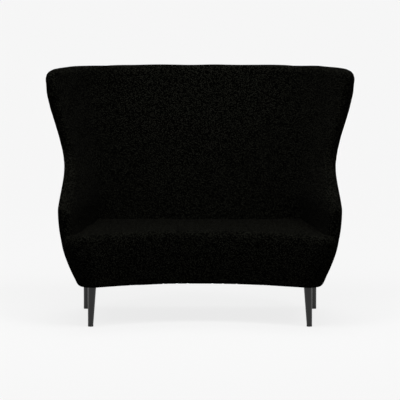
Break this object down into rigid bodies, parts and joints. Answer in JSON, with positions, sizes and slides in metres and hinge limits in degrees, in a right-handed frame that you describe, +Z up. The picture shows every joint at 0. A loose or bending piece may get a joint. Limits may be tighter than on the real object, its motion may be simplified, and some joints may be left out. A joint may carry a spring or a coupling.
{
  "type": "high back settee",
  "caption": "High back settee for two with a wrap-round winged back, low arms, a tight seat with a hollow front, and four tapered legs.",
  "frame": {"origin": "on the floor below the middle of the bounding box", "axes": "+X to the right seen from the front, +Y to the back, +Z up"},
  "size_m": [1.598, 0.8557, 1.283],
  "materials": {
    "foam": "pale upholstery foam",
    "glide": "black plastic",
    "leg": "black stained, satin",
    "lining": "thin black lining",
    "plywood": "bare plywood",
    "steel": "plain steel",
    "timber": "bare hardwood",
    "upholstery": "black boucle, matt",
    "webbing": "woven elastic webbing"
  },
  "bodies": {
    "root": {"arm_foam_left": "foam", "arm_foam_right": "foam", "arm_front_rib_left": "plywood", "arm_front_rib_right": "plywood", "arm_rail_left": "timber", "arm_rail_right": "timber", "back_foam": "foam", "back_lumbar_rail": "timber", "back_post_centre": "plywood", "back_post_left": "plywood", "back_post_right": "plywood", "back_top_rail": "timber", "back_webbing": "webbing", "dust_cover": "lining", "front_corner_block_left": "timber", "front_corner_block_right": "timber", "front_rail": "timber", "hanger_bolts": "steel", "inside_arm_cover_left": "upholstery", "inside_arm_cover_right": "upholstery", "inside_back_cover": "upholstery", "leg_front_left": "leg", "leg_front_right": "leg", "leg_glide_front_left": "glide", "leg_glide_front_right": "glide", "leg_glide_rear_left": "glide", "leg_glide_rear_right": "glide", "leg_plate_screws": "steel", "leg_plates": "steel", "leg_rear_left": "leg", "leg_rear_right": "leg", "outside_arm_cover_left": "upholstery", "outside_arm_cover_right": "upholstery", "outside_back_cover": "upholstery", "rear_corner_block_left": "timber", "rear_corner_block_right": "timber", "rear_rail": "timber", "seat_cover": "upholstery", "seat_foam": "foam", "seat_stretcher_left": "timber", "seat_stretcher_right": "timber", "seat_webbing_across": "webbing", "seat_webbing_lengthwise": "webbing", "side_lumbar_rail_left": "timber", "side_lumbar_rail_right": "timber", "side_rail_left": "timber", "side_rail_right": "timber", "wing_rib_left": "plywood", "wing_rib_right": "plywood", "wing_top_rail_left": "timber", "wing_top_rail_right": "timber"}
  },
  "joints": []
}
